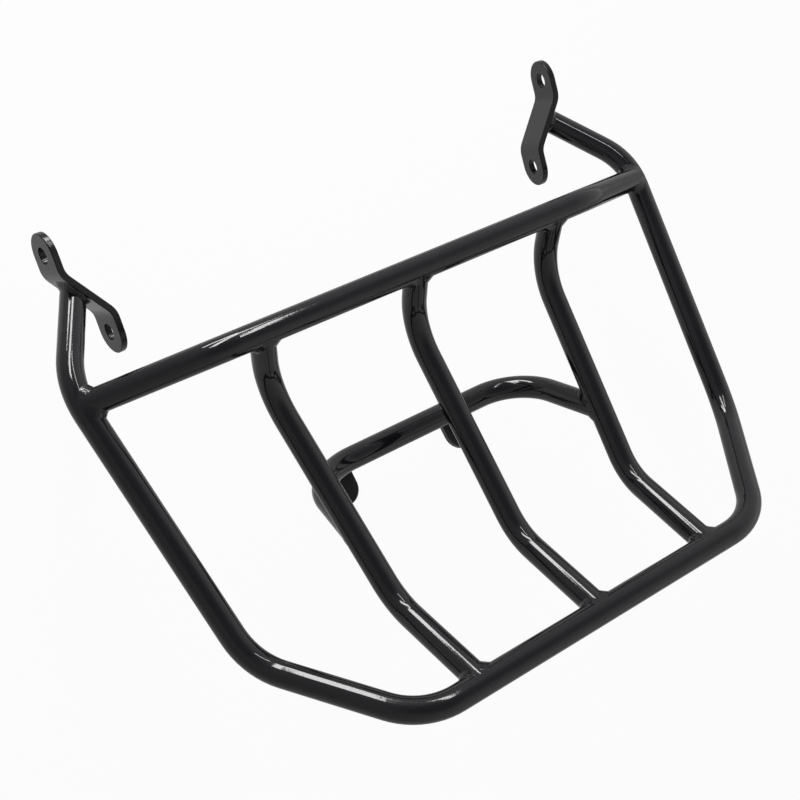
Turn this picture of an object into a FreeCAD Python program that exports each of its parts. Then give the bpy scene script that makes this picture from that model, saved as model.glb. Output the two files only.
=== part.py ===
import FreeCAD, Part
import math
import os

import Sketcher
from FreeCAD import Placement, Rotation, Vector

# Driving dimensions of the luggage rack, in millimetres and degrees. Distances ahead and back are
# measured from the front crossbar, rises and drops from the deck, the level of the hoop's sides.
SIZES = (
    ("tube_diameter", 13.0, "outside of every tube"),
    ("tube_wall", 1.5, "wall of every tube"),
    ("weld_leg", 2.4, "leg of every weld bead"),
    ("plate_edge", 0.6, "rounding of the edges of every plate"),
    ("front_half_width", 175.5, "hoop's front corner from the middle"),
    ("front_corner_ahead", 16.8, "hoop's front corner ahead of the crossbar"),
    ("rear_half_width", 155.5, "hoop's rear corner from the middle"),
    ("rear_corner_back", 137.0, "hoop's rear corner behind the crossbar"),
    ("rail_half_width", 106.0, "end of the raised rear rail from the middle"),
    ("rail_back", 191.5, "rear rail behind the crossbar"),
    ("rail_rise", 43.0, "rear rail above the deck"),
    ("front_bend", 43.0, "bend radius at the hoop's front corner"),
    ("corner_bend", 39.0, "bend radius where the hoop's side turns up"),
    ("rail_bend", 36.0, "bend radius at the end of the rear rail"),
    ("leg_inset", 26.5, "end of the hoop's front leg, inward of its corner"),
    ("leg_reach", 47.5, "end of the hoop's front leg, ahead of its corner"),
    ("leg_drop", 18.5, "end of the hoop's front leg, below the deck"),
    ("crossbar_rise", 31.0, "crossbar above the deck"),
    ("crossbar_knee", 112.0, "crossbar's bend from the middle"),
    ("crossbar_bend", 40.0, "bend radius where the crossbar turns down to the hoop"),
    ("crossbar_lean", 5.5, "crossbar's feet ahead of its middle"),
    ("slat_front_offset", 89.5, "outer slat from the middle at the crossbar"),
    ("slat_rear_offset", 73.0, "outer slat from the middle at the rear rail"),
    ("slat_front_foot", 21.0, "slat's front bend behind the crossbar"),
    ("slat_rear_foot", 144.0, "slat's rear bend behind the crossbar"),
    ("slat_front_bend", 36.0, "radius of a slat's front bend"),
    ("slat_rear_bend", 31.0, "radius of a slat's rear bend"),
    ("loop_half_width", 71.0, "corner of the support loop from the middle"),
    ("loop_back", 68.5, "base of the support loop behind the crossbar"),
    ("loop_drop", 50.5, "base of the support loop below the deck"),
    ("loop_leg_back", 105.0, "end of the support loop's leg behind the crossbar"),
    ("loop_bend", 31.5, "bend radius at the support loop's corner"),
    ("bracket_width", 23.0, "width of the bracket plate"),
    ("bracket_thickness", 3.5, "thickness of the bracket plate"),
    ("bracket_hole", 9.0, "bolt hole in the bracket plate"),
    ("bracket_hole_spacing", 46.5, "from hole to hole along the bracket"),
    ("bracket_joggle", 18.5, "step between the bracket's two tabs"),
    ("bracket_web_run", 25.5, "length over which the bracket steps across"),
    ("bracket_bend", 9.0, "inside radius of the bracket's bends"),
    ("bracket_tilt", 23.0, "slope of the bracket, front end up"),
    ("bracket_lean", 8.0, "lean of the bracket's plate, top inward"),
    ("bracket_seat", 4.0, "leg's end ahead of the bracket's middle, along its web"),
    ("hanger_offset", 43.0, "hanger plate from the middle"),
    ("hanger_width", 21.0, "width of the hanger plate"),
    ("hanger_thickness", 4.5, "thickness of the hanger plate"),
    ("hanger_drop", 39.5, "hanger's tab below the loop's base"),
    ("hanger_reach", 12.0, "centre of the tab's round end behind the loop's base"),
    ("hanger_hole", 7.0, "bolt hole in the hanger's tab"),
    ("hanger_hole_outward", 3.0, "bolt hole outward of the hanger's middle"),
    ("hanger_bend", 3.0, "inside radius of the hanger's bend"),
)

SIDES = (("left", -1), ("right", 1))

doc = FreeCAD.newDocument("luggage_rack")
sheet = doc.addObject("Spreadsheet::Sheet", "sizes")
for row, (alias, value, note) in enumerate(SIZES, start=1):
    sheet.set(f"A{row}", note)
    sheet.set(f"B{row}", str(value))
    sheet.setAlias(f"B{row}", alias)
doc.recompute()


def size(alias):
    """The present value of a cell of the sheet."""
    return float(sheet.get(alias))


TUBE_RADIUS = "sizes.tube_diameter / 2"
BORE_RADIUS = "sizes.tube_diameter / 2 - sizes.tube_wall"
BEAD_RADIUS = "sizes.tube_diameter / 2 + sizes.weld_leg"

# A bead is formed around a stub of tube this long. A box this wide clears a whole tube's end.
STUB_LENGTH = "2 * sizes.tube_diameter"
BOX_SPAN = "4 * sizes.tube_diameter"

# Two points closer than this are the same corner.
SAME_CORNER = 1e-3

# The bracket's web crosses from one tab to the other at this angle.
WEB_ANGLE = math.degrees(math.atan2(size("bracket_joggle"), size("bracket_web_run")))


def bracket_turn(side):
    """How a side's bracket lies: its plate leans inward at the top, and its bar slopes up to the front."""
    lean = Rotation(Vector(0, 1, 0), -side * size("bracket_lean"))
    return Rotation(Vector(1, 0, 0), size("bracket_tilt")) * lean


def bracket_offset(side):
    """From the bracket's middle to the end of the hoop's leg, which is welded to its web."""
    along = Rotation(Vector(0, 0, 1), -side * WEB_ANGLE).multVec(Vector(0, size("bracket_seat"), 0))
    return bracket_turn(side).multVec(along)


# The origin lies under the middle of the rack's box, level with the undersides of the hangers' tabs.
LEG_END_AHEAD = size("front_corner_ahead") + size("leg_reach")
FRONT_HOLE = Vector(size("bracket_joggle") / 2, size("bracket_hole_spacing") / 2, 0)
TAB_AHEAD = bracket_turn(1).multVec(FRONT_HOLE).y
FRONT_END = LEG_END_AHEAD - bracket_offset(1).y + TAB_AHEAD + size("bracket_width") / 2
REAR_END = -size("rail_back") - size("tube_diameter") / 2
LOWEST = -size("loop_drop") - size("hanger_drop") - size("hanger_thickness") / 2
ORIGIN = Vector(0, (FRONT_END + REAR_END) / 2, LOWEST)


def place(x, ahead, up):
    """A point from its distances right of the middle, ahead of the crossbar and above the deck."""
    return Vector(x, ahead, up) - ORIGIN


def bend_path(name, points, radii):
    """A path of straight runs through the points, with a tangent arc of its own radius at each corner."""
    edges = []
    start = points[0]
    for before, corner, after, radius in zip(points, points[1:], points[2:], radii):
        back = (before - corner).normalize()
        onward = (after - corner).normalize()
        half = back.getAngle(onward) / 2
        reach = radius / math.tan(half)
        inward = (back + onward).normalize()
        arc_start = corner + back * reach
        arc_middle = corner + inward * (radius / math.sin(half) - radius)
        arc_end = corner + onward * reach
        edges.append(Part.makeLine(start, arc_start))
        edges.append(Part.Arc(arc_start, arc_middle, arc_end).toShape())
        start = arc_end
    edges.append(Part.makeLine(start, points[-1]))
    path = doc.addObject("Part::Feature", name + "_path")
    path.Shape = Part.Wire(edges)
    return path


def rod(name, path, radius):
    """A solid round bar along a path, its radius bound to the sheet."""
    first = path.Shape.OrderedEdges[0]
    section = doc.addObject("Part::Circle", name + "_section")
    section.setExpression("Radius", radius)
    along = first.Vertexes[1].Point - first.Vertexes[0].Point
    section.Placement = Placement(first.Vertexes[0].Point, Rotation(Vector(0, 0, 1), along))
    bar = doc.addObject("Part::Sweep", name)
    bar.Sections = [section]
    bar.Spine = (path, [f"Edge{number}" for number in range(1, len(path.Shape.Edges) + 1)])
    bar.Solid = True
    return bar


def boolean(kind, name, base, tool):
    """A boolean of two objects of the document."""
    result = doc.addObject("Part::" + kind, name)
    result.Base = base
    result.Tool = tool
    return result


def cut(name, base, *tools):
    """The base with each tool taken away in turn."""
    for number, tool in enumerate(tools, start=1):
        last = number == len(tools)
        base = boolean("Cut", name if last else f"{name}_cut_{number}", base, tool)
    return base


class Tube:
    """A bent tube: its path, its solid outside and its outside with room for a weld bead."""

    def __init__(self, name, points, radii):
        self.name = name
        self.points = points
        self.path = bend_path(name, points, radii)
        self.outside = rod(name + "_outside", self.path, TUBE_RADIUS)
        self.bore = rod(name + "_bore", self.path, BORE_RADIUS)
        self.envelope = rod(name + "_envelope", self.path, BEAD_RADIUS)
        self.pipe = cut(name + "_pipe", self.outside, self.bore)

    def coped(self, *neighbours):
        """The tube with its ends cut to fit its neighbours."""
        return cut(self.name, self.pipe, *neighbours)


def end_bar(name, start, along, radius):
    """A straight bar from a joint's middle along the tube that is welded there."""
    bar = doc.addObject("Part::Cylinder", name)
    bar.setExpression("Radius", radius)
    bar.setExpression("Height", STUB_LENGTH)
    bar.Placement = Placement(start, Rotation(Vector(0, 0, 1), along))
    return bar


def tube_weld(name, start, along, tube, base):
    """A bead around a tube's end: what lies within a weld leg of both tubes and inside neither."""
    reach = end_bar(name + "_reach", start, along, BEAD_RADIUS)
    ring = boolean("Common", name + "_ring", reach, base.envelope)
    return cut(name, ring, tube.outside, base.outside)


def constrain(sketch, label, expression, *constraint):
    """A named dimension of a sketch, bound to the sheet."""
    index = sketch.addConstraint(Sketcher.Constraint(*constraint))
    sketch.renameConstraint(index, label)
    sketch.setExpression("Constraints." + label, expression)


def new_sketch(body, name, role):
    """A sketch on one of the body's own origin planes."""
    sketch = body.newObject("Sketcher::SketchObject", name)
    plane = next(item for item in body.Origin.OriginFeatures if item.Role == role)
    sketch.AttachmentSupport = (plane, "")
    sketch.MapMode = "FlatFace"
    return sketch


def polygon(sketch, corners):
    """Lines joined end to end through the corners. Returns the index of the first."""
    first = sketch.GeometryCount
    count = len(corners)
    for number, corner in enumerate(corners):
        sketch.addGeometry(Part.LineSegment(corner, corners[(number + 1) % count]))
    for number in range(count):
        following = first + (number + 1) % count
        sketch.addConstraint(Sketcher.Constraint("Coincident", first + number, 2, following, 1))
    return first


def slot(sketch, half_length, radius):
    """A round-ended outline along the sketch's first axis. Returns the indices of its two arcs."""
    right = sketch.addGeometry(
        Part.ArcOfCircle(
            Part.Circle(Vector(half_length, 0, 0), Vector(0, 0, 1), radius), -math.pi / 2, math.pi / 2
        )
    )
    left = sketch.addGeometry(
        Part.ArcOfCircle(
            Part.Circle(Vector(-half_length, 0, 0), Vector(0, 0, 1), radius), math.pi / 2, 3 * math.pi / 2
        )
    )
    top = sketch.addGeometry(
        Part.LineSegment(Vector(half_length, radius, 0), Vector(-half_length, radius, 0))
    )
    bottom = sketch.addGeometry(
        Part.LineSegment(Vector(-half_length, -radius, 0), Vector(half_length, -radius, 0))
    )
    for one, one_end, other, other_end in (
        (right, 2, top, 1), (top, 2, left, 1), (left, 2, bottom, 1), (bottom, 2, right, 1)
    ):
        sketch.addConstraint(Sketcher.Constraint("Tangent", one, one_end, other, other_end))
    return right, left


def bracket(side_name, side, middle):
    """A flat bar stepped sideways between two parallel tabs, round-ended, with a bolt hole in each tab."""
    name = "bracket_" + side_name
    body = doc.addObject("PartDesign::Body", name)
    body.Placement = Placement(middle, bracket_turn(side))

    thick = size("bracket_thickness")
    step = size("bracket_joggle")
    run = size("bracket_web_run")
    spacing = size("bracket_hole_spacing")
    width = size("bracket_width")
    # Each corner is half the step, half the thickness and a mitre away from the middle of the bar.
    mitre = "sizes.bracket_thickness / 2 * tan(atan(sizes.bracket_joggle / sizes.bracket_web_run) / 2)"
    tab_end = "(sizes.bracket_hole_spacing + sizes.bracket_width) / 2"
    shift = thick / 2 * math.tan(math.radians(WEB_ANGLE) / 2)
    corners = []
    for end, face, at_end in (
        (-1, -1, True), (-1, 1, True), (-1, 1, False), (1, 1, False),
        (1, 1, True), (1, -1, True), (1, -1, False), (-1, -1, False),
    ):
        x = side * (end * step / 2 + face * thick / 2)
        y = end * (spacing + width) / 2 if at_end else end * run / 2 - face * shift
        corners.append((Vector(x, y, 0), end, face, at_end))
    profile = new_sketch(body, name + "_profile", "XY_Plane")
    first = polygon(profile, [corner for corner, end, face, at_end in corners])
    for number, (corner, end, face, at_end) in enumerate(corners):
        across = f"{side} * ({end} * sizes.bracket_joggle / 2 + ({face}) * sizes.bracket_thickness / 2)"
        along = f"{end} * {tab_end}"
        if not at_end:
            along = f"{end} * sizes.bracket_web_run / 2 - ({face}) * {mitre}"
        point = (-1, 1, first + number, 1)
        constrain(profile, f"across_{number}", across, "DistanceX", *point, corner.x)
        constrain(profile, f"along_{number}", along, "DistanceY", *point, corner.y)
    bar = body.newObject("PartDesign::Pad", name + "_bar")
    bar.Profile = profile
    bar.Midplane = True
    bar.setExpression("Length", "sizes.bracket_width")
    doc.recompute()

    for label, inside, radius in (
        ("inner", True, "sizes.bracket_bend"),
        ("outer", False, "sizes.bracket_bend + sizes.bracket_thickness"),
    ):
        edges = []
        for corner, end, face, at_end in corners:
            if not at_end and (end != face) == inside:
                edges.append(edge_along(bar.Shape, "Z", corner))
        bend = body.newObject("PartDesign::Fillet", f"{name}_{label}_bends")
        bend.Base = (bar, edges)
        bend.setExpression("Radius", radius)
        doc.recompute()
        bar = bend

    outline = new_sketch(body, name + "_outline", "YZ_Plane")
    right, left = slot(outline, spacing / 2, width / 2)
    constrain(outline, "front", "sizes.bracket_hole_spacing / 2", "DistanceX", -1, 1, right, 3, spacing / 2)
    constrain(outline, "rear", "-sizes.bracket_hole_spacing / 2", "DistanceX", -1, 1, left, 3, -spacing / 2)
    outline.addConstraint(Sketcher.Constraint("PointOnObject", right, 3, -1))
    constrain(outline, "round", "sizes.bracket_width / 2", "Radius", right, width / 2)
    far = spacing + width
    border = polygon(
        outline,
        [Vector(-far, -width, 0), Vector(far, -width, 0), Vector(far, width, 0), Vector(-far, width, 0)],
    )
    for number, sign in ((0, -1), (2, 1)):
        point = (-1, 1, border + number, 1)
        across = f"{sign} * (sizes.bracket_hole_spacing + sizes.bracket_width)"
        up = f"{sign} * sizes.bracket_width"
        constrain(outline, f"border_across_{number}", across, "DistanceX", *point, sign * far)
        constrain(outline, f"border_up_{number}", up, "DistanceY", *point, sign * width)
    for number, direction in enumerate(("Horizontal", "Vertical", "Horizontal", "Vertical")):
        outline.addConstraint(Sketcher.Constraint(direction, border + number))
    pocket(body, name + "_ends", outline)
    round_edges(body, name + "_edges")

    holes = new_sketch(body, name + "_holes", "YZ_Plane")
    hole_radius = size("bracket_hole") / 2
    for number, end in enumerate((-1, 1)):
        centre = Vector(end * spacing / 2, 0, 0)
        hole = holes.addGeometry(Part.Circle(centre, Vector(0, 0, 1), hole_radius))
        holes.addConstraint(Sketcher.Constraint("PointOnObject", hole, 3, -1))
        place_at = f"{end} * sizes.bracket_hole_spacing / 2"
        constrain(holes, f"centre_{number}", place_at, "DistanceX", -1, 1, hole, 3, centre.x)
        constrain(holes, f"bolt_{number}", "sizes.bracket_hole / 2", "Radius", hole, hole_radius)
    pocket(body, name + "_bolt_holes", holes)
    return body


def edge_along(shape, axis, corner):
    """The name of the edge that runs along an axis through a corner of the profile."""
    across = [name.lower() for name in "XYZ" if name != axis]
    for number, edge in enumerate(shape.Edges, start=1):
        ends = [vertex.Point for vertex in edge.Vertexes]
        gaps = [abs(getattr(end, name) - getattr(corner, name)) for end in ends for name in across]
        if max(gaps) < SAME_CORNER:
            return f"Edge{number}"
    raise ValueError(f"no edge runs through {corner}")


def pocket(body, name, sketch):
    """A cut right through the body, both ways from its sketch."""
    before = body.Tip.Shape.Volume
    hollow = body.newObject("PartDesign::Pocket", name)
    hollow.Profile = sketch
    hollow.Type = "ThroughAll"
    hollow.Midplane = True
    doc.recompute()
    if body.Tip.Shape.Volume >= before:
        raise ValueError(name + " cuts nothing")


def round_edges(body, name):
    """Rounds every sharp edge of a bent plate, before its bolt holes are drilled."""
    bent = body.Tip
    edges = body.newObject("PartDesign::Fillet", name)
    edges.Base = (bent, ["Edge1"])
    edges.UseAllEdges = True
    edges.setExpression("Radius", "sizes.plate_edge")
    doc.recompute()


def web_box(name, side, middle, depth, outward):
    """A box on the outer face of a bracket's web: outward of it for the bead, inward for the tube's end."""
    box = doc.addObject("Part::Box", name)
    box.setExpression("Length", depth)
    box.setExpression("Width", BOX_SPAN)
    box.setExpression("Height", BOX_SPAN)
    doc.recompute()
    half = float(box.Width) / 2
    face = size("bracket_thickness") / 2
    across = Rotation(Vector(0, 0, 1), -WEB_ANGLE if side > 0 else 180 + WEB_ANGLE)
    turn = bracket_turn(side) * across
    near = face if outward else face - float(box.Length)
    box.Placement = Placement(middle + turn.multVec(Vector(near, -half, -half)), turn)
    return box


def hanger(side_name, side, loop):
    """A flat bar hanging from the loop's base, bent back into a round-ended tab with a bolt hole."""
    name = "hanger_" + side_name
    width = size("hanger_width")
    thick = size("hanger_thickness")
    drop = size("hanger_drop")
    reach = size("hanger_reach")
    body = doc.addObject("PartDesign::Body", name + "_blank")
    body.Placement.Base = place(side * size("hanger_offset"), -size("loop_back"), -size("loop_drop"))

    arm_sketch = new_sketch(body, name + "_arm_outline", "XZ_Plane")
    low = drop + thick / 2
    half = width / 2
    first = polygon(
        arm_sketch,
        [Vector(-half, 0, 0), Vector(half, 0, 0), Vector(half, -low, 0), Vector(-half, -low, 0)],
    )
    for number, direction in enumerate(("Horizontal", "Vertical", "Horizontal", "Vertical")):
        arm_sketch.addConstraint(Sketcher.Constraint(direction, first + number))
    arm_sketch.addConstraint(Sketcher.Constraint("Symmetric", first, 1, first, 2, -1, 1))
    constrain(arm_sketch, "width", "sizes.hanger_width", "DistanceX", first, 1, first, 2, width)
    length = "-sizes.hanger_drop - sizes.hanger_thickness / 2"
    constrain(arm_sketch, "length", length, "DistanceY", -1, 1, first + 2, 1, -low)
    arm = body.newObject("PartDesign::Pad", name + "_arm")
    arm.Profile = arm_sketch
    arm.Midplane = True
    arm.setExpression("Length", "sizes.hanger_thickness")

    tab_sketch = new_sketch(body, name + "_tab_outline", "XY_Plane")
    tab_sketch.setExpression("AttachmentOffset.Base.z", "-sizes.hanger_drop")
    tip = Part.Circle(Vector(0, -reach, 0), Vector(0, 0, 1), half)
    end = tab_sketch.addGeometry(Part.ArcOfCircle(tip, math.pi, 2 * math.pi))
    corners = (
        Vector(half, -reach, 0), Vector(half, thick / 2, 0),
        Vector(-half, thick / 2, 0), Vector(-half, -reach, 0),
    )
    lines = [tab_sketch.addGeometry(Part.LineSegment(a, b)) for a, b in zip(corners, corners[1:])]
    tab_sketch.addConstraint(Sketcher.Constraint("Tangent", end, 2, lines[0], 1))
    tab_sketch.addConstraint(Sketcher.Constraint("Coincident", lines[0], 2, lines[1], 1))
    tab_sketch.addConstraint(Sketcher.Constraint("Coincident", lines[1], 2, lines[2], 1))
    tab_sketch.addConstraint(Sketcher.Constraint("Tangent", lines[2], 2, end, 1))
    tab_sketch.addConstraint(Sketcher.Constraint("Horizontal", lines[1]))
    tab_sketch.addConstraint(Sketcher.Constraint("PointOnObject", end, 3, -2))
    constrain(tab_sketch, "round", "sizes.hanger_width / 2", "Radius", end, half)
    constrain(tab_sketch, "reach", "-sizes.hanger_reach", "DistanceY", -1, 1, end, 3, -reach)
    front_face = "sizes.hanger_thickness / 2"
    constrain(tab_sketch, "front", front_face, "DistanceY", -1, 1, lines[1], 1, thick / 2)
    tab = body.newObject("PartDesign::Pad", name + "_tab")
    tab.Profile = tab_sketch
    tab.Midplane = True
    tab.setExpression("Length", "sizes.hanger_thickness")
    doc.recompute()

    for label, sign, radius in (
        ("inner", -1, "sizes.hanger_bend"),
        ("outer", 1, "sizes.hanger_bend + sizes.hanger_thickness"),
    ):
        corner = Vector(0, sign * thick / 2, -drop - sign * thick / 2)
        bend = body.newObject("PartDesign::Fillet", f"{name}_{label}_bend")
        bend.Base = (tab, [edge_along(tab.Shape, "X", corner)])
        bend.setExpression("Radius", radius)
        doc.recompute()
        tab = bend
    round_edges(body, name + "_edges")

    hole_sketch = new_sketch(body, name + "_hole", "XY_Plane")
    hole_radius = size("hanger_hole") / 2
    across = side * size("hanger_hole_outward")
    hole = hole_sketch.addGeometry(Part.Circle(Vector(across, -reach, 0), Vector(0, 0, 1), hole_radius))
    outward = f"{side} * sizes.hanger_hole_outward"
    constrain(hole_sketch, "outward", outward, "DistanceX", -1, 1, hole, 3, across)
    constrain(hole_sketch, "reach", "-sizes.hanger_reach", "DistanceY", -1, 1, hole, 3, -reach)
    constrain(hole_sketch, "bolt", "sizes.hanger_hole / 2", "Radius", hole, hole_radius)
    pocket(body, name + "_bolt_hole", hole_sketch)
    plate = cut(name, body, loop.outside)

    grown = doc.addObject("Part::Box", name + "_weld_reach")
    grown.setExpression("Length", "sizes.hanger_width")
    grown.setExpression("Width", "sizes.hanger_thickness + 2 * sizes.weld_leg")
    grown.setExpression("Height", "sizes.tube_diameter")
    corner = Vector(half, thick / 2 + size("weld_leg"), size("tube_diameter"))
    grown.Placement.Base = body.Placement.Base - corner
    bead = boolean("Common", name + "_weld_ring", grown, loop.envelope)
    return plate, cut("weld_" + name, bead, body, loop.outside)


def mirrored(points):
    """A path's right half, from its end to the middle, continued to the left."""
    return points + [Vector(-p.x, p.y, p.z) for p in reversed(points)]


nodes = []
radius = size("tube_diameter") / 2

# The hoop: from one leg's end round the rear rail to the other. Each leg runs on into its bracket.
leg_end = place(size("front_half_width") - size("leg_inset"), LEG_END_AHEAD, -size("leg_drop"))
front_corner = place(size("front_half_width"), size("front_corner_ahead"), 0)
rear_corner = place(size("rear_half_width"), -size("rear_corner_back"), 0)
rail_end = place(size("rail_half_width"), -size("rail_back"), size("rail_rise"))
leg_along = (front_corner - leg_end).normalize()
hoop = Tube(
    "main_hoop",
    mirrored([leg_end - leg_along * (2 * radius), front_corner, rear_corner, rail_end]),
    [size(bend) for bend in (
        "front_bend", "corner_bend", "rail_bend", "rail_bend", "corner_bend", "front_bend"
    )],
)

# The crossbar stands above the deck, its ends slanting down to the hoop's front corners.
side_slope = (front_corner.x - rear_corner.x) / (front_corner.y - rear_corner.y)
side_at_crossbar = front_corner.x - side_slope * (size("front_corner_ahead") - size("crossbar_lean"))
crossbar_foot = place(side_at_crossbar, size("crossbar_lean"), 0)
crossbar_knee = place(size("crossbar_knee"), 0, size("crossbar_rise"))
crossbar = Tube(
    "front_crossbar", mirrored([crossbar_foot, crossbar_knee]), [size("crossbar_bend")] * 2
)

# The slats drop from the crossbar to the deck and climb to the rear rail, fanned towards the front.
slat_length = size("rail_back")
slat_profile = (
    (0, size("crossbar_rise")),
    (size("slat_front_foot"), 0),
    (size("slat_rear_foot"), 0),
    (slat_length, size("rail_rise")),
)
slat_fan = size("slat_front_offset") - size("slat_rear_offset")


def slat_offset(back):
    """The outer slat's distance from the middle, at a distance behind the crossbar."""
    return size("slat_front_offset") - slat_fan * back / slat_length


slats = {}
for slat_name, side in (("left", -1), ("centre", 0), ("right", 1)):
    points = [place(side * slat_offset(back), -back, rise) for back, rise in slat_profile]
    slats[slat_name] = Tube(
        "slat_" + slat_name, points, [size("slat_front_bend"), size("slat_rear_bend")]
    )

# The support loop hangs under the deck, its legs meeting the outer slats from below.
loop_leg_end = place(slat_offset(size("loop_leg_back")), -size("loop_leg_back"), 0)
loop_corner = place(size("loop_half_width"), -size("loop_back"), -size("loop_drop"))
loop = Tube("support_loop", mirrored([loop_leg_end, loop_corner]), [size("loop_bend")] * 2)
doc.recompute()

nodes.append(crossbar.coped(hoop.outside))
for slat_name, slat in slats.items():
    nodes.append(slat.coped(crossbar.outside, hoop.outside))
    front, front_foot, rear_foot, rear = slat.points
    nodes.append(
        tube_weld(f"weld_slat_{slat_name}_front", front, front_foot - front, slat, crossbar)
    )
    nodes.append(tube_weld(f"weld_slat_{slat_name}_rear", rear, rear_foot - rear, slat, hoop))
nodes.append(loop.coped(slats["left"].outside, slats["right"].outside))

leg_cutters = []
for side_name, side in SIDES:
    foot, knee, leg, corner, end = (
        Vector(side * p.x, p.y, p.z)
        for p in (crossbar_foot, crossbar_knee, loop_leg_end, loop_corner, leg_end)
    )
    nodes.append(tube_weld(f"weld_crossbar_{side_name}", foot, knee - foot, crossbar, hoop))
    nodes.append(tube_weld(f"weld_loop_{side_name}", leg, corner - leg, loop, slats[side_name]))

    middle = end - bracket_offset(side)
    nodes.append(bracket(side_name, side, middle))
    leg_cutters.append(web_box(f"leg_end_{side_name}", side, middle, BOX_SPAN, False))
    along = Vector(side * leg_along.x, leg_along.y, leg_along.z)
    bead_name = "weld_bracket_" + side_name
    bar = end_bar(bead_name + "_reach", end - along * radius, along, BEAD_RADIUS)
    layer = web_box(bead_name + "_layer", side, middle, "sizes.weld_leg", True)
    ring = boolean("Common", bead_name + "_ring", bar, layer)
    nodes.append(cut(bead_name, ring, hoop.outside))

    nodes.extend(hanger(side_name, side, loop))
nodes.append(hoop.coped(*leg_cutters))
doc.recompute()

for item in doc.Objects:
    if "Invalid" in item.State or "Error" in item.State:
        raise RuntimeError(f"{item.Name} failed: {item.State}")
for node in nodes:
    if node.Shape.isNull() or not node.Shape.isValid():
        raise RuntimeError(f"{node.Name} has no valid shape")

os.makedirs("parts", exist_ok=True)
for node in nodes:
    node.Label = node.Name
    node.Shape.exportStep(f"parts/{node.Label}.step")
    print(node.Label, len(node.Shape.Solids), round(node.Shape.Volume, 1))
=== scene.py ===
import math

import bmesh
import bpy
from mathutils import Matrix, Quaternion, Vector, noise
from mathutils.bvhtree import BVHTree


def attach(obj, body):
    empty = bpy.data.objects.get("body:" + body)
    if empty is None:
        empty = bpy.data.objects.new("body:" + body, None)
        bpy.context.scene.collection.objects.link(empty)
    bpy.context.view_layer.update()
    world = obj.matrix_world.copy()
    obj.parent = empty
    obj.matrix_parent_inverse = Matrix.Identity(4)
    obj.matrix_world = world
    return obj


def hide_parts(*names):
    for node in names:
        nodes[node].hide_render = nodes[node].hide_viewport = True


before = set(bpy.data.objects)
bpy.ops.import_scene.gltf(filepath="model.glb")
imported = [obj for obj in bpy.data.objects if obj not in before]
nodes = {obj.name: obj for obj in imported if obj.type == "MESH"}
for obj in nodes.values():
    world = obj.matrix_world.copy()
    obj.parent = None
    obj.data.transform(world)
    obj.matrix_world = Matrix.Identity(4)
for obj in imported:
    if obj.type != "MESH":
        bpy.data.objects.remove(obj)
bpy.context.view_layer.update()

MM = 0.001

# The part's origin, in millimetres from the middle of the front crossbar and the level of the deck.
ORIGIN = Vector((0, -52.0769, -92.25))

# Lines of the welded pieces, in the same millimetres: right of the middle, ahead and up.
SLAT_FRONT = 89.5
SLAT_REAR = 73.0
RAIL_BACK = 191.5
SLAT_LINE = ((0, 31.0), (21.0, 0), (144.0, 0), (RAIL_BACK, 43.0))
CROSSBAR_FOOT = (174.04, 5.5, 0)
CROSSBAR_KNEE = (112.0, 0, 31.0)
LEG_END = (149.0, 64.3, -18.5)
LEG_CORNER = (175.5, 16.8, 0)
LOOP_LEG_BACK = 105.0
LOOP_HALF_WIDTH = 71.0
LOOP_BACK = 68.5
LOOP_DROP = 50.5
HANGER_OFFSET = 43.0

TUBE_RADIUS = 6.5 * MM
HANGER_WIDTH = 21.0 * MM
HANGER_THICKNESS = 4.5 * MM
WELD_LEG = 3.0 * MM


def place(x, ahead, up):
    """A point from millimetres right of the middle, ahead of the crossbar and above the deck."""
    return (Vector((x, ahead, up)) - ORIGIN) * MM


def on_side(side, point):
    """A point of the right half, or its mirror image for side -1."""
    x, ahead, up = point
    return place(side * x, ahead, up)


def slat_offset(back):
    """The outer slat's distance from the middle, at a distance behind the crossbar."""
    return SLAT_FRONT - (SLAT_FRONT - SLAT_REAR) * back / RAIL_BACK


# Camera, as fitted to the photograph.
CAMERA_PLACE = (-0.2935, -0.04024, 0.66069)
CAMERA_RIGHT = (0.820483, -0.447269, 0.356031)
CAMERA_UP = (0.382526, 0.892364, 0.239501)
CAMERA_LENS = 55.05

camera_data = bpy.data.cameras.new("camera")
camera_data.lens = CAMERA_LENS
camera_data.sensor_width = 36
camera_data.clip_start = 0.01
camera_data.clip_end = 50
camera = bpy.data.objects.new("camera", camera_data)
bpy.context.scene.collection.objects.link(camera)
right = Vector(CAMERA_RIGHT).normalized()
up = Vector(CAMERA_UP).normalized()
turn = Matrix((right, up, right.cross(up))).transposed().to_4x4()
camera.matrix_world = Matrix.Translation(CAMERA_PLACE) @ turn
bpy.context.scene.camera = camera
bpy.context.scene.view_settings.view_transform = "Standard"


def new_material(name):
    """A new node material, with its tree and its Principled shader."""
    material = bpy.data.materials.new(name)
    material.use_nodes = True
    tree = material.node_tree
    return material, tree, tree.nodes["Principled BSDF"]


def add(tree, kind, **values):
    """A node with some of its inputs or settings given."""
    node = tree.nodes.new(kind)
    for key, value in values.items():
        if key in node.inputs:
            node.inputs[key].default_value = value
        else:
            setattr(node, key, value)
    return node


def noise_of(tree, coordinates, scale, detail, roughness=0.5):
    """A noise texture in the piece's own metres."""
    texture = add(tree, "ShaderNodeTexNoise", Scale=scale, Detail=detail, Roughness=roughness)
    tree.links.new(coordinates.outputs["Object"], texture.inputs["Vector"])
    return texture


def spread(tree, source, low, high, out_low, out_high):
    """Maps a range of a texture's values to another range."""
    ramp = add(tree, "ShaderNodeMapRange")
    ramp.inputs["From Min"].default_value = low
    ramp.inputs["From Max"].default_value = high
    ramp.inputs["To Min"].default_value = out_low
    ramp.inputs["To Max"].default_value = out_high
    tree.links.new(source, ramp.inputs["Value"])
    return ramp.outputs["Result"]


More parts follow.
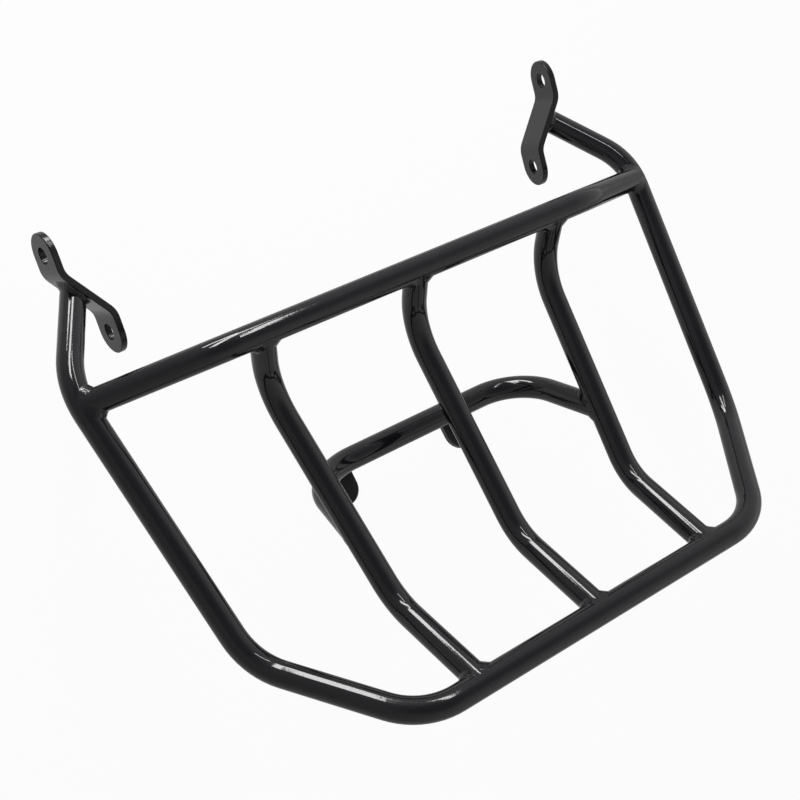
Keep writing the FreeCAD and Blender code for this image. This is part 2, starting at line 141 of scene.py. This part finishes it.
# Scales of the coats' textures, per metre, and how much finer the grain is than the ripple of the paint.
MOTTLE_SCALE = 55
HAZE_SCALE = 130
GRAIN_FINENESS = 4.5


def coat(name, dark, light, gloss, peel_scale, peel_depth, grain_share=0.0, ior=1.5):
    """A black coat on steel: a mottled colour, an uneven gloss and the ripple of cured paint."""
    material, tree, shader = new_material(name)
    coordinates = add(tree, "ShaderNodeTexCoord")
    mottle = noise_of(tree, coordinates, MOTTLE_SCALE, 4)
    tint = add(tree, "ShaderNodeMix", data_type="RGBA")
    tint.inputs["A"].default_value = (*dark, 1)
    tint.inputs["B"].default_value = (*light, 1)
    tree.links.new(spread(tree, mottle.outputs["Fac"], 0.35, 0.7, 0, 1), tint.inputs["Factor"])
    tree.links.new(tint.outputs["Result"], shader.inputs["Base Color"])
    haze = noise_of(tree, coordinates, HAZE_SCALE, 5, 0.6)
    rough = spread(tree, haze.outputs["Fac"], 0.3, 0.75, *gloss)
    tree.links.new(rough, shader.inputs["Roughness"])
    peel = noise_of(tree, coordinates, peel_scale, 2)
    grain = noise_of(tree, coordinates, peel_scale * GRAIN_FINENESS, 1)
    height = add(tree, "ShaderNodeMath", operation="MULTIPLY_ADD")
    height.inputs[1].default_value = grain_share
    tree.links.new(grain.outputs["Fac"], height.inputs[0])
    tree.links.new(peel.outputs["Fac"], height.inputs[2])
    bump = add(tree, "ShaderNodeBump", Strength=1.0, Distance=peel_depth)
    tree.links.new(height.outputs["Value"], bump.inputs["Height"])
    tree.links.new(bump.outputs["Normal"], shader.inputs["Normal"])
    shader.inputs["IOR"].default_value = ior
    return material


gloss_coat = coat(
    "gloss_coat", dark=(0.0045, 0.0045, 0.006), light=(0.0065, 0.0065, 0.008), gloss=(0.06, 0.12),
    peel_scale=380, peel_depth=0.00002,
)
satin_coat = coat(
    "satin_coat", dark=(0.005, 0.005, 0.006), light=(0.008, 0.008, 0.009), gloss=(0.15, 0.24),
    peel_scale=900, peel_depth=0.00003, grain_share=0.4, ior=1.42,
)
# The hangers' coat is the same black paint in a lighter colour: painted light, standing in for the light
# they catch below the loop.
hanger_coat_painted_light = coat(
    "hanger_coat_painted_light", dark=(0.016, 0.016, 0.018), light=(0.024, 0.024, 0.026), gloss=(0.2, 0.32),
    peel_scale=900, peel_depth=0.00004, grain_share=0.4,
)
weld_coat = coat(
    "weld_coat", dark=(0.0045, 0.0045, 0.006), light=(0.007, 0.007, 0.0085), gloss=(0.08, 0.15),
    peel_scale=700, peel_depth=0.00004, grain_share=0.3,
)


def dress(obj, material):
    """Gives a piece one material."""
    obj.data.materials.clear()
    obj.data.materials.append(material)


TUBES = ("main_hoop", "front_crossbar", "slat_left", "slat_centre", "slat_right", "support_loop")
for name in TUBES:
    dress(nodes[name], gloss_coat)
for side_name in ("left", "right"):
    dress(nodes["bracket_" + side_name], satin_coat)
    dress(nodes["hanger_" + side_name], hanger_coat_painted_light)


def tree_of(*names):
    """A search tree over some of the CAD nodes' meshes."""
    whole = bmesh.new()
    for name in names:
        whole.from_mesh(nodes[name].data)
    found = BVHTree.FromBMesh(whole)
    whole.free()
    return found


# A joint's line is found by rays that start this far along the tube and run at most this length.
RING_START = 30.0 * MM
RING_REACH = 60.0 * MM
RING_SAMPLES = 96
GRAZING = 0.05
LINE_REACH = 50.0 * MM
LINE_SAMPLES = 40


def ring_samples(bvh, start, along):
    """Where a tube that leaves start meets a surface: point, tube's normal and surface's normal."""
    along = along.normalized()
    side = along.orthogonal().normalized()
    other = along.cross(side)
    samples = []
    for number in range(RING_SAMPLES):
        angle = 2 * math.pi * number / RING_SAMPLES
        out = side * math.cos(angle) + other * math.sin(angle)
        line = start + out * TUBE_RADIUS
        hit, normal = bvh.ray_cast(line + along * RING_START, -along, RING_REACH)[:2]
        if hit is None or normal.dot(along) < GRAZING:
            hit, normal = bvh.find_nearest(line)[:2]
        samples.append((hit, out, normal))
    return samples


def line_samples(bvh, first, last, wall, upward):
    """Where a flat wall meets a surface above it, from one end of the wall to the other."""
    samples = []
    for number in range(LINE_SAMPLES):
        point = first.lerp(last, number / (LINE_SAMPLES - 1))
        hit, normal = bvh.ray_cast(point, upward, LINE_REACH)[:2]
        samples.append((hit, wall, normal))
    return samples


# A bead's section has this many points. Its edges run this far into the metal.
BEAD_STEPS = 11
SINK = 0.12 * MM

# Ripples along a bead, and the slower lumps in its width. Heights are shares of the bead's width.
RIPPLE_PITCH = 1.7 * MM
RIPPLE_HEIGHT = 0.07
RIPPLE_BOW = 0.55
LUMP_SCALE = 260
LUMP_WIDENING = 0.16
LUMP_HEIGHT = 0.04
LUMP_SHIFT = 0.35
CROWN_SHARE = 0.3
ROOT_SHARE = 0.35

# An open bead is narrower at its ends and full after this many samples.
END_SAMPLES = 3
END_WIDTH = 0.55

# The lumps of each bead are drawn from a place of its own in the noise, this far from the last.
SEED_STEP = 3.7


def settle(bvh, point):
    """The nearest place on a surface, a little below it, so that a bead's edge runs into the metal."""
    spot, normal = bvh.find_nearest(point)[:2]
    return spot - normal * SINK


def bead(name, samples, along, closed, seed, own, base):
    """A welder's bead: overlapping crescents laid along the line where two surfaces meet."""
    count = len(samples)
    mesh = bmesh.new()
    rows = []
    travelled = 0.0
    for number, (point, first, second) in enumerate(samples):
        before = samples[number - 1 if closed or number else 0][0]
        after = samples[(number + 1) % count if closed or number < count - 1 else number][0]
        heading = (after - before).normalized()
        travelled += (point - before).length if number else 0
        climb = heading.cross(first).normalized()
        if climb.dot(along) < 0:
            climb = -climb
        spread_out = heading.cross(second).normalized()
        if spread_out.dot(first) - 0.3 * spread_out.dot(along) < 0:
            spread_out = -spread_out
        outward = (first + second).normalized()
        lump = noise.noise(point * LUMP_SCALE + Vector((seed, 0, 0)))
        width = WELD_LEG * (1 + LUMP_WIDENING * lump)
        if not closed:
            taper = min(number, count - 1 - number) / END_SAMPLES
            width *= min(1.0, END_WIDTH + (1 - END_WIDTH) * taper)
        top = settle(own, point + climb * width)
        foot = settle(base, point + spread_out * width)
        crown = point + (top + foot - point * 2) * CROWN_SHARE
        row = []
        for step in range(BEAD_STEPS):
            t = step / (BEAD_STEPS - 1)
            place_on = top * (1 - t) ** 2 + crown * 2 * t * (1 - t) + foot * t * t
            bow = math.sin(math.pi * t)
            phase = travelled / RIPPLE_PITCH + RIPPLE_BOW * bow + LUMP_SHIFT * lump
            ripple = 0.5 - 0.5 * math.cos(2 * math.pi * phase)
            rise = (RIPPLE_HEIGHT * ripple + LUMP_HEIGHT * lump) * width * bow
            row.append(mesh.verts.new(place_on + outward * rise))
        row.append(mesh.verts.new(point - outward * WELD_LEG * ROOT_SHARE))
        rows.append(row)
    for number in range(count if closed else count - 1):
        row = rows[number]
        following = rows[(number + 1) % count]
        for step in range(len(row)):
            onward = (step + 1) % len(row)
            mesh.faces.new((row[step], row[onward], following[onward], following[step]))
    if not closed:
        mesh.faces.new(rows[0])
        mesh.faces.new(rows[-1])
    bmesh.ops.recalc_face_normals(mesh, faces=mesh.faces)
    for face in mesh.faces:
        face.smooth = True
    data = bpy.data.meshes.new(name)
    mesh.to_mesh(data)
    mesh.free()
    obj = bpy.data.objects.new(name, data)
    bpy.context.scene.collection.objects.link(obj)
    dress(obj, weld_coat)
    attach(obj, "root")
    return obj


def ring_bead(joint, start, onward, seed, own, base):
    """A bead all round the end of a tube, in place of the plain weld of the same joint."""
    direction = (onward - start).normalized()
    samples = ring_samples(base, start, direction)
    piece = bead("bead_" + joint, samples, direction, True, seed, own, base)
    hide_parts("weld_" + joint)


crossbar_tree = tree_of("front_crossbar")
hoop_tree = tree_of("main_hoop")
loop_tree = tree_of("support_loop")
seed = 1.0
for slat, side in (("left", -1), ("centre", 0), ("right", 1)):
    slat_tree = tree_of("slat_" + slat)
    front, front_foot, rear_foot, rear = (
        place(side * slat_offset(back), -back, rise) for back, rise in SLAT_LINE
    )
    ring_bead(f"slat_{slat}_front", front, front_foot, seed, slat_tree, crossbar_tree)
    seed += SEED_STEP
    ring_bead(f"slat_{slat}_rear", rear, rear_foot, seed, slat_tree, hoop_tree)
    seed += SEED_STEP

# Rays for the hangers' welds start below the loop's base.
HANGER_LOOK_UP = 12.0
LOOP_LEG_END = (slat_offset(LOOP_LEG_BACK), -LOOP_LEG_BACK, 0)
LOOP_CORNER = (LOOP_HALF_WIDTH, -LOOP_BACK, -LOOP_DROP)

for side_name, side in (("left", -1), ("right", 1)):
    slat_tree = tree_of("slat_" + side_name)
    bracket_tree = tree_of("bracket_" + side_name)
    for joint, start, onward, own, base in (
        ("crossbar", CROSSBAR_FOOT, CROSSBAR_KNEE, crossbar_tree, hoop_tree),
        ("loop", LOOP_LEG_END, LOOP_CORNER, loop_tree, slat_tree),
        ("bracket", LEG_END, LEG_CORNER, hoop_tree, bracket_tree),
    ):
        ring_bead(f"{joint}_{side_name}", on_side(side, start), on_side(side, onward), seed, own, base)
        seed += SEED_STEP
    hanger_tree = tree_of("hanger_" + side_name)
    middle = side * HANGER_OFFSET * MM
    base_line = place(0, -LOOP_BACK, -LOOP_DROP - HANGER_LOOK_UP)
    for face_name, face in (("front", 1), ("rear", -1)):
        wall = base_line.y + face * HANGER_THICKNESS / 2
        first = Vector((middle - HANGER_WIDTH / 2, wall, base_line.z))
        last = Vector((middle + HANGER_WIDTH / 2, wall, base_line.z))
        samples = line_samples(loop_tree, first, last, Vector((0, face, 0)), Vector((0, 0, 1)))
        piece = bead(
            f"bead_hanger_{side_name}_{face_name}", samples, Vector((0, 0, -1)), False, seed,
            hanger_tree, loop_tree,
        )
        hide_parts("weld_hanger_" + side_name)
        seed += SEED_STEP


def backdrop(tree, shader, output, seen_share, mirrored_share):
    """Mixes plain white into a stage's own shader, by how it is seen: by the camera or in a reflection."""
    rays = add(tree, "ShaderNodeLightPath")
    mirrored = add(tree, "ShaderNodeMath", operation="MAXIMUM")
    tree.links.new(rays.outputs["Is Glossy Ray"], mirrored.inputs[0])
    tree.links.new(rays.outputs["Is Transmission Ray"], mirrored.inputs[1])
    faint = add(tree, "ShaderNodeMath", operation="MULTIPLY")
    faint.inputs[1].default_value = mirrored_share
    tree.links.new(mirrored.outputs["Value"], faint.inputs[0])
    share = add(tree, "ShaderNodeMath", operation="MULTIPLY_ADD")
    share.inputs[1].default_value = seen_share
    tree.links.new(rays.outputs["Is Camera Ray"], share.inputs[0])
    tree.links.new(faint.outputs["Value"], share.inputs[2])
    glow = add(tree, "ShaderNodeEmission", Color=(1, 1, 1, 1), Strength=1.0)
    mix = add(tree, "ShaderNodeMixShader")
    tree.links.new(share.outputs["Value"], mix.inputs["Fac"])
    tree.links.new(shader, mix.inputs[1])
    tree.links.new(glow.outputs["Emission"], mix.inputs[2])
    tree.links.new(mix.outputs["Shader"], output)


# Floor: pale and matt. Most of what the camera sees of it is plain white, and the rest keeps the shadow.
FLOOR_SEEN_WHITE = 0.95
FLOOR_MIRRORED_WHITE = 0.25
FLOOR_COLOUR = (0.55, 0.55, 0.55, 1)
FLOOR_HALF = 6.0
FLOOR_LEVEL = -0.5 * MM
floor_mesh = bpy.data.meshes.new("floor")
floor_mesh.from_pydata(
    [
        (-FLOOR_HALF, -FLOOR_HALF, 0), (FLOOR_HALF, -FLOOR_HALF, 0),
        (FLOOR_HALF, FLOOR_HALF, 0), (-FLOOR_HALF, FLOOR_HALF, 0),
    ],
    [],
    [(0, 1, 2, 3)],
)
floor = bpy.data.objects.new("floor", floor_mesh)
floor.location.z = FLOOR_LEVEL
bpy.context.scene.collection.objects.link(floor)
floor_material, floor_tree, floor_shader = new_material("floor")
floor_shader.inputs["Base Color"].default_value = FLOOR_COLOUR
floor_shader.inputs["Roughness"].default_value = 0.9
floor_shader.inputs["Specular IOR Level"].default_value = 0.0
backdrop(
    floor_tree, floor_shader.outputs["BSDF"],
    floor_tree.nodes["Material Output"].inputs["Surface"], FLOOR_SEEN_WHITE, FLOOR_MIRRORED_WHITE,
)
floor_mesh.materials.append(floor_material)

# Surroundings: white to the camera; to everything else a studio that darkens overhead and to the left.
STUDIO_SHADES = (
    (0.0, (0.75, 0.75, 0.76, 1)),
    (0.7, (0.62, 0.62, 0.63, 1)),
    (0.95, (0.25, 0.25, 0.26, 1)),
)
STUDIO_STRENGTH = 0.85
STUDIO_SLANT = 0.35
world = bpy.data.worlds.new("studio")
bpy.context.scene.world = world
world.use_nodes = True
tree = world.node_tree
background = tree.nodes["Background"]
coordinates = add(tree, "ShaderNodeTexCoord")
split = add(tree, "ShaderNodeSeparateXYZ")
tree.links.new(coordinates.outputs["Generated"], split.inputs["Vector"])
ramp = add(tree, "ShaderNodeValToRGB")
stops = ramp.color_ramp.elements
stops.new(STUDIO_SHADES[1][0])
for stop, (height, shade) in zip(stops, STUDIO_SHADES):
    stop.position = height
    stop.color = shade
tree.links.new(split.outputs["Z"], ramp.inputs["Fac"])
tree.links.new(ramp.outputs["Color"], background.inputs["Color"])
sideways = add(tree, "ShaderNodeMath", operation="MULTIPLY_ADD")
sideways.inputs[1].default_value = STUDIO_SLANT
sideways.inputs[2].default_value = STUDIO_STRENGTH
tree.links.new(split.outputs["X"], sideways.inputs[0])
tree.links.new(sideways.outputs["Value"], background.inputs["Strength"])
white = add(tree, "ShaderNodeBackground", Color=(1, 1, 1, 1), Strength=1.0)
rays = add(tree, "ShaderNodeLightPath")
mix = add(tree, "ShaderNodeMixShader")
tree.links.new(rays.outputs["Is Camera Ray"], mix.inputs["Fac"])
tree.links.new(background.outputs["Background"], mix.inputs[1])
tree.links.new(white.outputs["Background"], mix.inputs[2])
tree.links.new(mix.outputs["Shader"], tree.nodes["World Output"].inputs["Surface"])


# Lamps: all stand in one plane ahead of the rack, at an azimuth from straight ahead and an elevation.
LAMP_AZIMUTH = math.radians(1.7)
LAMP_ELEVATION = math.radians(35.0)
LAMP_DISTANCE = 0.72
LAMP_AIM_HEIGHT = 0.1
STRIP_RADIANCE = 16.0
WASH_RADIANCE = 8.0


def softbox(name, width, height, radiance, aside=0.0, above=0.0, roll=0.0):
    """A rectangular lamp that faces the rack, moved aside and up in the lamps' plane and turned in it."""
    data = bpy.data.lights.new(name, "AREA")
    data.shape = "RECTANGLE"
    data.size = width
    data.size_y = height
    data.energy = radiance * math.pi * width * height
    lamp = bpy.data.objects.new(name, data)
    level = math.cos(LAMP_ELEVATION)
    aim = Vector(
        (math.sin(LAMP_AZIMUTH) * level, math.cos(LAMP_AZIMUTH) * level, math.sin(LAMP_ELEVATION))
    )
    facing = aim.to_track_quat("Z", "Y")
    shift = facing @ Vector((-aside, above, 0))
    lamp.location = Vector((0, 0, LAMP_AIM_HEIGHT)) + aim * LAMP_DISTANCE + shift
    lamp.rotation_mode = "QUATERNION"
    lamp.rotation_quaternion = facing @ Quaternion((0, 0, 1), math.radians(roll))
    bpy.context.scene.collection.objects.link(lamp)
    return lamp


# The strip lamps show only in the gloss, and the wash lights the rest evenly.
for strip in (
    softbox("strip_diagonal", 0.50, 0.115, STRIP_RADIANCE, aside=-0.06, above=0.005, roll=41.0),
    softbox("strip_level", 0.35, 0.085, STRIP_RADIANCE, aside=-0.065, above=-0.20),
    softbox("strip_upright", 0.045, 0.37, STRIP_RADIANCE, aside=0.155, above=0.215),
):
    strip.visible_diffuse = False
wash = softbox("wash", 0.34, 0.57, WASH_RADIANCE)
wash.visible_glossy = False
